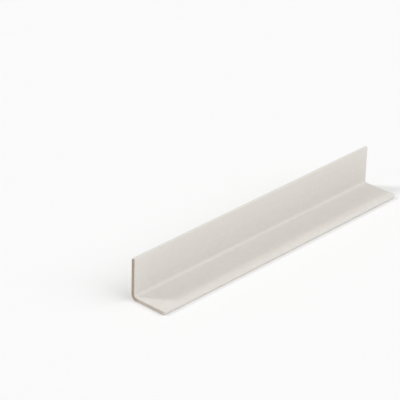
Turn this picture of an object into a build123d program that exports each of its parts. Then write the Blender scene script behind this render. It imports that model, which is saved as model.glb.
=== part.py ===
from build123d import *
import os

os.makedirs("parts", exist_ok=True)

# Edge protector: a laminated paperboard angle. Flat plies are glued in a stack, wrapped in white
# paper, folded to a right angle while damp and cut to length. All sizes are in millimetres.

board_length = 375.0  # between the two cut ends
leg_width = 50.0  # outside of the fold to the long edge, the same on both legs
board_thickness = 4.2  # stack of plies with its white paper on both faces
bend_radius = 2.3  # inside of the fold
wrap_width = 12.0  # strip of the outer paper that is turned over each long edge and glued down
paper_thickness = 0.25  # of the turned-over strip
outer_rounding = 2.3  # corner of each long edge where the paper rolls off the outer face
inner_rounding = 0.8  # corner where it is pressed down on the inner face

# Places in the section, which stands in the YZ plane: Y across, Z up, X along the board
heel = leg_width / 2  # Y of the upright leg's outer face
toe = heel - leg_width  # Y of the flat leg's long edge
mid_board = board_thickness / 2  # depth of the stack's middle under either outer face
edge_thickness = board_thickness + paper_thickness

# The legs mirror each other about this plane through the fold, at 45 degrees to both
fold_plane = Plane(origin=(heel, 0, 0), x_dir=(-1, 1, 0), z_dir=(1, 1, 0))

with BuildPart() as edge_protector:
    with BuildSketch(Plane.YZ):
        # The stack of plies bends round the fold at an even thickness, up to the wrapped edges
        with BuildLine():
            FilletPolyline(
                (toe + edge_thickness, mid_board),
                (heel - mid_board, mid_board),
                (heel - mid_board, leg_width - edge_thickness),
                radius=bend_radius + mid_board,
            )
        trace(line_width=board_thickness)

        # Wrapped long edge of the flat leg, with the low step where its paper ends
        with Locations((toe, 0)):
            Rectangle(wrap_width, edge_thickness, align=Align.MIN)
        fillet(vertices().group_by(Axis.X)[0].sort_by(Axis.Y)[0], radius=outer_rounding)
        fillet(vertices().group_by(Axis.X)[0].sort_by(Axis.Y)[-1], radius=inner_rounding)

        # The upright leg's edge is the same
        mirror(about=fold_plane)
    extrude(amount=board_length / 2, both=True)

edge_protector.part.label = "edge_protector"
export_step(edge_protector.part, "parts/edge_protector.step")
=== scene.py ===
import math
import random

import bmesh
import bpy
from mathutils import Euler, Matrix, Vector, noise


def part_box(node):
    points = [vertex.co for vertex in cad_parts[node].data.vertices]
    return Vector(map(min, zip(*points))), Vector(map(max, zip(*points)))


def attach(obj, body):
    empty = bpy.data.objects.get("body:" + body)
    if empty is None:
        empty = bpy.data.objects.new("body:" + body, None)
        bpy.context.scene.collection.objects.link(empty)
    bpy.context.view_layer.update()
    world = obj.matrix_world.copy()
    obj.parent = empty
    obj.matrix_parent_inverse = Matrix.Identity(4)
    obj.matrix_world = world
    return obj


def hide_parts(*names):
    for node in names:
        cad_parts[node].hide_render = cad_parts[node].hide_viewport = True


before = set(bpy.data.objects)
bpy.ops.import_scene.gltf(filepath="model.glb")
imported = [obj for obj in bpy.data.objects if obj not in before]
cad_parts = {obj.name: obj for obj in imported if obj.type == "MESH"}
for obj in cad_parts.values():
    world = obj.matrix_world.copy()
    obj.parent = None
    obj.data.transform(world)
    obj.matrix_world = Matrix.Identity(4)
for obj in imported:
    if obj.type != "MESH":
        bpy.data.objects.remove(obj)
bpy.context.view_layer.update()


# Plies of the board
# Six layers of grey-brown recycled chipboard, glued in a stack and folded to a right angle.
# They show only where a saw has cut the board to length: each layer's edge is torn a little
# differently, with a thin dark glue line between it and the next.

MM = 0.001  # scene units are metres
box_low, box_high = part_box("edge_protector")
leg = box_high.z - box_low.z  # outside of the fold to the long edge
board_half = (box_high.x - box_low.x) / 2
toe = box_low.y  # long edge of the leg that lies flat
heel = box_high.y  # outer face of the leg that stands
board_thickness = 4.2 * MM
paper_thickness = 0.25 * MM
liner_thickness = 0.2 * MM
fold_radius = 2.3 * MM + board_thickness  # on the outside of the fold
edge_depth = board_thickness + paper_thickness  # of the wrapped long edges
outer_rounding = 2.3 * MM  # corner of each long edge where the paper rolls off the outer face
inner_rounding = 0.8 * MM  # corner where it is pressed down on the inner face
straight = leg - fold_radius  # flat stretch of the outer face on each leg
around = straight * 2 + fold_radius * math.pi / 2  # outer face from long edge to long edge
saw_skew = 1.5 * MM  # over the height of the upright leg: both ends are cut a little off square
bunch_reach = 6 * MM  # along the outer face, to either side of the middle of the fold
bunch_share = 0.09  # how much thicker the plies are at the middle of the fold
edge_reach = 8 * MM  # from a long edge to where its own unevenness has died out

# Radius of each blunted corner on the inner and on the outer face, by the end and the leg it is
# on. The two at the front of the flat leg have been knocked from below.
corner_radius = {
    (-1, "flat"): (1.1 * MM, 2.4 * MM),
    (1, "flat"): (0.9 * MM, 3.4 * MM),
    (-1, "upright"): (1.1 * MM, 1.1 * MM),
    (1, "upright"): (0.2 * MM, 0.3 * MM),
}


def in_section(along, depth):
    """Y and Z of a point `along` the outer face from the flat leg's edge and `depth` under it."""
    if along <= straight:
        return toe + along, depth
    if along >= around - straight:
        return heel - depth, leg - (around - along)
    turn = (along - straight) / fold_radius
    reach = fold_radius - depth
    return heel - fold_radius + reach * math.sin(turn), fold_radius - reach * math.cos(turn)


def unevenness(x, along):
    """How far the faces lie inside their true plane: no board leaves the rollers quite flat."""
    long_wave = noise.noise(Vector((x / (90 * MM), along / (60 * MM), 3.1)))
    short_wave = noise.noise(Vector((x / (28 * MM), along / (16 * MM), 8.7)))
    return (0.06 + 0.045 * long_wave + 0.015 * short_wave) * MM


def bunched(along, depth):
    """The depth once the damp plies have bunched up a little on the inside of the fold."""
    from_fold = (along - around / 2) / bunch_reach
    return depth * (1 + bunch_share * max(0.0, 1 - from_fold**2))


def edge_inset(x, along, depth):
    """How far a long edge lies inside its true line at x, with its corner rounded off."""
    side = "flat" if along < around / 2 else "upright"
    wander = noise.noise(Vector((x / (70 * MM), 5.0 * (side == "flat"), 1.3)))
    on_inner_face, on_outer_face = corner_radius[-1 if x < 0 else 1, side]
    radius = on_outer_face + (on_inner_face - on_outer_face) * min(1.0, depth / edge_depth)
    into_corner = min(radius, max(0.0, radius - (board_half - abs(x))))
    return (0.06 + 0.06 * wander) * MM + radius - math.sqrt(radius**2 - into_corner**2)


def sawn(x, z):
    """X moved so that both ends lie in planes a little off square, inside the board's length."""
    return x * (1 - saw_skew / 2 / board_half) + saw_skew * (z / leg - 0.5)


def steps(start, end, spacing):
    """Even steps from start to end, both included."""
    count = max(1, round(abs(end - start) / spacing))
    return [start + (end - start) * i / count for i in range(count + 1)]


def stations(spacing):
    """Places along the board, closer together where the corners are rounded off."""
    close = [board_half - gap * MM for gap in (0.0, 0.1, 0.3, 0.6, 1.0, 1.5, 2.2, 3.2)]
    middle = steps(-board_half + 5 * MM, board_half - 5 * MM, spacing)
    return [-x for x in close] + middle + close[::-1]


def clean_edge(*place):
    """For a cut or slit edge that doesn't wander."""
    return 0.0


def strip_mesh(name, pairs, places, cut_back=clean_edge, slit=clean_edge):
    """A bent strip of board or paper along X, with material 1 on its cut ends.
    pairs: its section, as ((along, depth) on the outer side, (along, depth) on the inner side).
    cut_back(end, along): how far its cut edge lies inside the board's length.
    slit(x, along): how far its first and last edge wander sideways."""
    mesh = bmesh.new()
    rings = []
    for place in places:
        end = 0 if abs(place) < board_half else int(math.copysign(1, place))
        ring = []
        for number, pair in enumerate(pairs):
            for along, depth in pair:
                x = place - end * cut_back(end, along) if end else place
                from_edge = max(0.0, min(along, around - along))
                inward = edge_inset(x, along, depth) * max(0.0, 1 - from_edge / edge_reach)
                if number in (0, len(pairs) - 1):
                    inward += slit(x, along)
                moved = along + inward if along < around / 2 else along - inward
                y, z = in_section(moved, bunched(along, depth) + unevenness(x, along))
                ring.append(mesh.verts.new((sawn(x, z), y, z)))
        rings.append(ring)
    last = 2 * len(pairs) - 2  # outer point of a ring's last pair
    for one, two in zip(rings, rings[1:]):
        for a in range(0, last, 2):
            mesh.faces.new((one[a], one[a + 2], two[a + 2], two[a]))
            mesh.faces.new((one[a + 3], one[a + 1], two[a + 1], two[a + 3]))
        mesh.faces.new((one[1], one[0], two[0], two[1]))
        mesh.faces.new((one[last], one[last + 1], two[last + 1], two[last]))
    for ring in (rings[0], rings[-1]):
        for a in range(0, last, 2):
            cut = mesh.faces.new((ring[a], ring[a + 1], ring[a + 3], ring[a + 2]))
            cut.material_index = 1
    bmesh.ops.recalc_face_normals(mesh, faces=mesh.faces)
    data = bpy.data.meshes.new(name)
    mesh.to_mesh(data)
    mesh.free()
    return data


def smooth_faces(data, sharp_degrees=35):
    """Rounds the shading over the fold and keeps the cut edges crisp."""
    data.shade_smooth()
    data.set_sharp_from_angle(angle=math.radians(sharp_degrees))


def add_piece(name, data):
    """Stands a finished mesh in for the solid board."""
    piece = bpy.data.objects.new(name, data)
    bpy.context.collection.objects.link(piece)
    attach(piece, "root")
    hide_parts("edge_protector")


def linear(code):
    """An sRGB hex colour as linear red, green, blue and alpha."""
    parts = [int(code[i : i + 2], 16) / 255 for i in (1, 3, 5)]
    return (*[c / 12.92 if c <= 0.04045 else ((c + 0.055) / 1.055) ** 2.4 for c in parts], 1.0)


def put(tree, kind, inputs=(), **settings):
    """Adds one shader node, with its settings, and sets or links its inputs."""
    made = tree.nodes.new("ShaderNode" + kind)
    for name, value in settings.items():
        setattr(made, name, value)
    for socket, value in dict(inputs).items():
        if isinstance(value, bpy.types.NodeSocket):
            tree.links.new(value, made.inputs[socket])
        else:
            made.inputs[socket].default_value = value
    return made


mix_from, mix_to, mixed = 6, 7, 2  # colour sockets of a Mix node: its two inputs and its output


def blank_material(name):
    """A material with an empty node tree, and the surface point in millimetres."""
    made = bpy.data.materials.new(name)
    made.use_nodes = True
    tree = made.node_tree
    tree.nodes.clear()
    place = put(tree, "TexCoord").outputs["Object"]
    millimetres = put(tree, "VectorMath", {0: place, "Scale": 1 / MM}, operation="SCALE")
    return made, tree, millimetres.outputs["Vector"]


def chipboard(name, tone, streak):
    """Recycled chipboard, cut across: a dull grey-brown of short torn fibres, with paler and
    darker ones a few tenths of a millimetre across. It has no gloss at all. The flat leg's ends
    are painted paler: painted light for the bounce off the white floor."""
    fibre_width = 0.35  # in millimetres, as the next three
    patch_size = 2.4  # of a denser or looser stretch of fibres
    painted_light_fades = 13.0  # Y where the painted light on the flat leg's ends starts to fade, towards the fold
    painted_light_ends = 20.5  # Y just short of the upright leg
    made, tree, point = blank_material(name)
    fibres = put(
        tree, "TexNoise", {"Vector": point, "Scale": 1 / fibre_width, "Detail": 4.0, "Roughness": 0.6}
    )
    patches = put(
        tree, "TexNoise", {"Vector": point, "Scale": 1 / patch_size, "Detail": 2.0, "Roughness": 0.5}
    )
    blend = put(tree, "MapRange", {"Value": fibres.outputs["Fac"], "From Min": 0.32, "From Max": 0.68})
    torn = put(
        tree,
        "Mix",
        {"Factor": blend.outputs["Result"], mix_from: linear(tone), mix_to: linear(streak)},
        data_type="RGBA",
    )
    shade = put(
        tree,
        "MapRange",
        {
            "Value": patches.outputs["Fac"],
            "From Min": 0.3,
            "From Max": 0.7,
            "To Min": 0.9,
            "To Max": 1.06,
        },
    )
    across = put(tree, "SeparateXYZ", {"Vector": point}).outputs["Y"]
    # Painted light: the flat leg's cut ends are mixed towards a paler colour, standing in for bounce light
    # off the white floor; the upright leg's ends keep their own colour.
    painted_light_mask = put(
        tree,
        "MapRange",
        {"Value": across, "From Min": painted_light_fades, "From Max": painted_light_ends, "To Min": 0.9, "To Max": 0.05},
    )
    painted_light_mix = put(
        tree,
        "Mix",
        {"Factor": painted_light_mask.outputs["Result"], mix_from: torn.outputs[mixed], mix_to: linear("#DDD3C9")},
        data_type="RGBA",
    )
    colour = put(
        tree, "VectorMath", {0: painted_light_mix.outputs[mixed], "Scale": shade.outputs["Result"]}, operation="SCALE"
    )
    rough = put(tree, "Bump", {"Height": fibres.outputs["Fac"], "Strength": 0.5, "Distance": 0.08 * MM})
    surface = put(
        tree,
        "BsdfPrincipled",
        {
            "Base Color": colour.outputs["Vector"],
            "Roughness": 0.95,
            "Specular IOR Level": 0.15,
            "Normal": rough.outputs["Normal"],
        },
    )
    put(tree, "OutputMaterial", {"Surface": surface.outputs["BSDF"]})
    return made


ply_count = 6
ply_pitch = (board_thickness - paper_thickness - liner_thickness) / ply_count
glue_line = 0.05 * MM
ply_tones = [
    chipboard("brown_chipboard", "#A08C76", "#BCA892"),
    chipboard("grey_brown_chipboard", "#B0A192", "#C8BAAB"),
    chipboard("pale_chipboard", "#BBAEA0", "#D2C7BA"),
]


def layer_edge(depth):
    """Where a layer starts along the face, so that the stack fills the wrapped long edge."""
    rounding = outer_rounding if depth < outer_rounding else inner_rounding
    rise = max(0.0, outer_rounding - depth, depth - (edge_depth - inner_rounding))
    radius = rounding - paper_thickness
    return rounding - math.sqrt(radius**2 - min(rise, radius) ** 2)


def layer_pairs(outer, inner, spacing, fold_spacing):
    """Section of one layer between two depths, closer spaced round the fold."""
    past_edge = 3 * MM  # clear of both roundings
    places = steps(past_edge, straight, spacing)
    places += steps(straight, around - straight, fold_spacing)[1:]
    places += steps(around - straight, around - past_edge, spacing)[1:]
    pairs = [((layer_edge(outer), outer), (layer_edge(inner), inner))]
    pairs += [((along, outer), (along, inner)) for along in places]
    pairs.append(((around - layer_edge(outer), outer), (around - layer_edge(inner), inner)))
    return pairs


board = bpy.data.meshes.new("board_plies")
plies = bmesh.new()
random.seed(7)
for number in range(ply_count):
    outer = paper_thickness + number * ply_pitch + glue_line / 2
    inner = outer + ply_pitch - glue_line
    set_back = {-1: random.uniform(0.02, 0.14) * MM, 1: random.uniform(0.02, 0.14) * MM}

    def torn_edge(end, along):
        """Each ply and each end frays in its own way."""
        fray = noise.noise(Vector((along / (1.6 * MM), number * 3.7, end * 9.0)))
        return set_back[end] + (0.05 + 0.05 * fray) * MM

    ply_section = layer_pairs(outer, inner, 3 * MM, 0.9 * MM)
    ply = strip_mesh("ply", ply_section, stations(25 * MM), cut_back=torn_edge)
    ply.polygons.foreach_set("material_index", [number % len(ply_tones)] * len(ply.polygons))
    plies.from_mesh(ply)
    bpy.data.meshes.remove(ply)
plies.to_mesh(board)
plies.free()
smooth_faces(board)
for tone in ply_tones:
    board.materials.append(tone)
add_piece("board_plies", board)


# Inner liner
# One strip of white paper glued to the inner faces of both legs and into the fold.
# Its edges run in under the paper that is turned over the long edges.


def white_paper(name, sheet, cloud, show_through):
    """White-lined board paper, smoothed between rollers: matte, with faint clouds where the
    fibres lie denser and fine streaks along the board. Here and there a speck of the brown board
    shows through. The streaks are drawn about twice as coarse as real ones."""
    cloud_size = 7.0  # in millimetres, as the next three
    streak_width = 1.8
    fibre_width = 0.5
    speck_spacing = 5.0
    along_streaks = (0.03, 1.0, 1.0)  # makes them some 30 times as long as wide
    made, tree, point = blank_material(name)
    clouds = put(
        tree, "TexNoise", {"Vector": point, "Scale": 1 / cloud_size, "Detail": 3.0, "Roughness": 0.55}
    )
    stretched = put(tree, "VectorMath", {0: point, 1: along_streaks}, operation="MULTIPLY")
    streaks = put(
        tree,
        "TexNoise",
        {
            "Vector": stretched.outputs["Vector"],
            "Scale": 1 / streak_width,
            "Detail": 3.0,
            "Roughness": 0.5,
        },
    )
    fibres = put(
        tree, "TexNoise", {"Vector": point, "Scale": 1 / fibre_width, "Detail": 3.0, "Roughness": 0.6}
    )
    specks = put(tree, "TexVoronoi", {"Vector": point, "Scale": 1 / speck_spacing, "Randomness": 1.0})
    speck = put(
        tree,
        "MapRange",
        {
            "Value": specks.outputs["Distance"],
            "From Min": 0.03,
            "From Max": 0.06,
            "To Min": 0.35,
            "To Max": 0.0,
        },
    )
    cloudy = put(tree, "MapRange", {"Value": clouds.outputs["Fac"], "From Min": 0.35, "From Max": 0.68})
    base = put(
        tree,
        "Mix",
        {"Factor": cloudy.outputs["Result"], mix_from: linear(sheet), mix_to: linear(cloud)},
        data_type="RGBA",
    )
    streaky = put(
        tree,
        "MapRange",
        {
            "Value": streaks.outputs["Fac"],
            "From Min": 0.3,
            "From Max": 0.7,
            "To Min": 0.985,
            "To Max": 1.01,
        },
    )
    lined = put(
        tree, "VectorMath", {0: base.outputs[mixed], "Scale": streaky.outputs["Result"]}, operation="SCALE"
    )
    tint = put(
        tree,
        "Mix",
        {
            "Factor": speck.outputs["Result"],
            mix_from: lined.outputs["Vector"],
            mix_to: linear(show_through),
        },
        data_type="RGBA",
    )
    height = put(tree, "Math", {0: fibres.outputs["Fac"], 1: streaks.outputs["Fac"]}, operation="ADD")
    relief = put(
        tree, "Bump", {"Height": height.outputs["Value"], "Strength": 0.25, "Distance": 0.03 * MM}
    )
    polish = put(
        tree,
        "MapRange",
        {
            "Value": clouds.outputs["Fac"],
            "From Min": 0.3,
            "From Max": 0.7,
            "To Min": 0.5,
            "To Max": 0.62,
        },
    )
    surface = put(
        tree,
        "BsdfPrincipled",
        {
            "Base Color": tint.outputs[mixed],
            "Roughness": polish.outputs["Result"],
            "IOR": 1.45,
            "Normal": relief.outputs["Normal"],
        },
    )
    put(tree, "OutputMaterial", {"Surface": surface.outputs["BSDF"]})
    return made


paper_core = chipboard("cut_paper_edge", "#BDB0A2", "#D6CCC1")

liner_section = layer_pairs(board_thickness - liner_thickness, board_thickness, 2 * MM, 0.6 * MM)
liner = strip_mesh("inner_liner", liner_section, stations(5 * MM))
smooth_faces(liner)
liner.materials.append(white_paper("white_liner_paper", "#DFDBD5", "#E2DED8", "#A9977F"))
liner.materials.append(paper_core)
add_piece("inner_liner", liner)


# Outer wrap
# One wider strip of the same white paper: it covers the outer faces, goes round both long edges
# and is glued down on the inner faces, where it ends in a low step.

wrap_width = 12 * MM


def slit_edge(x, along):
    """The paper's slit edge wanders a little along the board."""
    return 0.25 * MM * noise.noise(Vector((x / (45 * MM), along / around * 7.0, 6.2)))


def round_corner(rounding, middle, inset, degrees):
    """A point `inset` under the paper on a corner of the long edge; 90 degrees faces straight out."""
    turn = math.radians(degrees)
    radius = rounding - inset
    return rounding - radius * math.sin(turn), middle + radius * math.cos(turn)


half_wrap = [
    ((along, edge_depth), (along, board_thickness))
    for along in steps(wrap_width, inner_rounding, 1.6 * MM)
]
inner_corner = (inner_rounding, edge_depth - inner_rounding, range(15, 91, 15))
outer_corner = (outer_rounding, outer_rounding, range(90, 180, 15))
for rounding, middle, turns in (inner_corner, outer_corner):
    half_wrap += [
        (round_corner(rounding, middle, 0.0, d), round_corner(rounding, middle, paper_thickness, d))
        for d in turns
    ]
outer_places = steps(outer_rounding, straight, 2 * MM) + steps(straight, around / 2, 0.6 * MM)[1:]
half_wrap += [((along, 0.0), (along, paper_thickness)) for along in outer_places]
other_half = [
    tuple((around - along, depth) for along, depth in pair) for pair in reversed(half_wrap[:-1])
]
wrap = strip_mesh("outer_wrap", half_wrap + other_half, stations(5 * MM), slit=slit_edge)
smooth_faces(wrap)
wrap.materials.append(white_paper("white_wrap_paper", "#E0DCD6", "#E3DFD9", "#B3A28C"))
wrap.materials.append(paper_core)
add_piece("outer_wrap", wrap)


# Floor
# A plain white studio floor, wide enough to fill every view. It keeps the board's soft shadow.

floor_half = 14.0  # metres
mottle_size = 40.0  # millimetres
floor_mesh = bpy.data.meshes.new("floor")
corners = [(x * floor_half, y * floor_half, 0) for x, y in ((-1, -1), (1, -1), (1, 1), (-1, 1))]
floor_mesh.from_pydata(corners, [], [(0, 1, 2, 3)])
floor_paint, floor_tree, floor_point = blank_material("matte_white_floor")
mottle = put(floor_tree, "TexNoise", {"Vector": floor_point, "Scale": 1 / mottle_size, "Detail": 2.0})
white = put(floor_tree, "MapRange", {"Value": mottle.outputs["Fac"], "To Min": 0.965, "To Max": 0.975})
floor_surface = put(floor_tree, "BsdfDiffuse", {"Color": white.outputs["Result"], "Roughness": 0.0})
put(floor_tree, "OutputMaterial", {"Surface": floor_surface.outputs["BSDF"]})
floor_mesh.materials.append(floor_paint)
floor = bpy.data.objects.new("floor", floor_mesh)
bpy.context.collection.objects.link(floor)


# Light
# A white tent all round, a small lamp high behind the board on the camera's left, and a very
# large soft one in front on the right. Together they light a level white surface to just about
# its own colour, and the upright leg throws a soft shadow over the flat one.

tent_strength = 0.53  # as a light; the camera and reflections see the tent as plain white

world = bpy.data.worlds.new("white_tent")
bpy.context.scene.world = world
world.use_nodes = True
sky = world.node_tree
sky.nodes.clear()
ray = put(sky, "LightPath").outputs
seen = put(sky, "Math", {0: ray["Is Camera Ray"], 1: ray["Is Transmission Ray"]}, operation="MAXIMUM")
plain = put(sky, "Math", {0: seen.outputs["Value"], 1: ray["Is Glossy Ray"]}, operation="MAXIMUM")
level = put(
    sky, "MapRange", {"Value": plain.outputs["Value"], "To Min": tent_strength, "To Max": 1.0}
)
tent = put(sky, "Background", {"Color": (1.0, 1.0, 1.0, 1.0), "Strength": level.outputs["Result"]})
put(sky, "OutputWorld", {"Surface": tent.outputs["Background"]})


def add_lamp(name, direction, strength, spread_degrees):
    """A far soft lamp that shines from a direction and looks spread_degrees wide."""
    data = bpy.data.lights.new(name, "SUN")
    data.energy = strength
    data.angle = math.radians(spread_degrees)
    lamp = bpy.data.objects.new(name, data)
    lamp.rotation_mode = "QUATERNION"
    lamp.rotation_quaternion = Vector(direction).to_track_quat("Z", "Y")
    bpy.context.collection.objects.link(lamp)


add_lamp("key_lamp", direction=(-0.41, 0.60, 0.73), strength=0.81, spread_degrees=12)
add_lamp("fill_lamp", direction=(0.45, -0.65, 0.80), strength=1.22, spread_degrees=60)


# Camera
# A long lens that looks down on the open side of the board from off its near end, so that the
# edges of both legs stay nearly parallel.

camera_azimuth = math.radians(-45.57)
camera_elevation = math.radians(27.51)
camera_place = Vector((-1575.2, -1436.9, 1167.3)) * MM
lens_pixels = 2200  # focal length in pixels of a picture 400 wide
picture_width = 400

camera_data = bpy.data.cameras.new("camera")
camera_data.sensor_width = 36.0  # millimetres
camera_data.lens = camera_data.sensor_width * lens_pixels / picture_width
camera_data.clip_start = 0.1
camera_data.clip_end = 60.0
camera = bpy.data.objects.new("camera", camera_data)
camera.location = camera_place
camera.rotation_euler = Euler((math.pi / 2 - camera_elevation, 0.0, camera_azimuth), "XYZ")
bpy.context.collection.objects.link(camera)
bpy.context.scene.camera = camera
bpy.context.scene.view_settings.view_transform = "Standard"
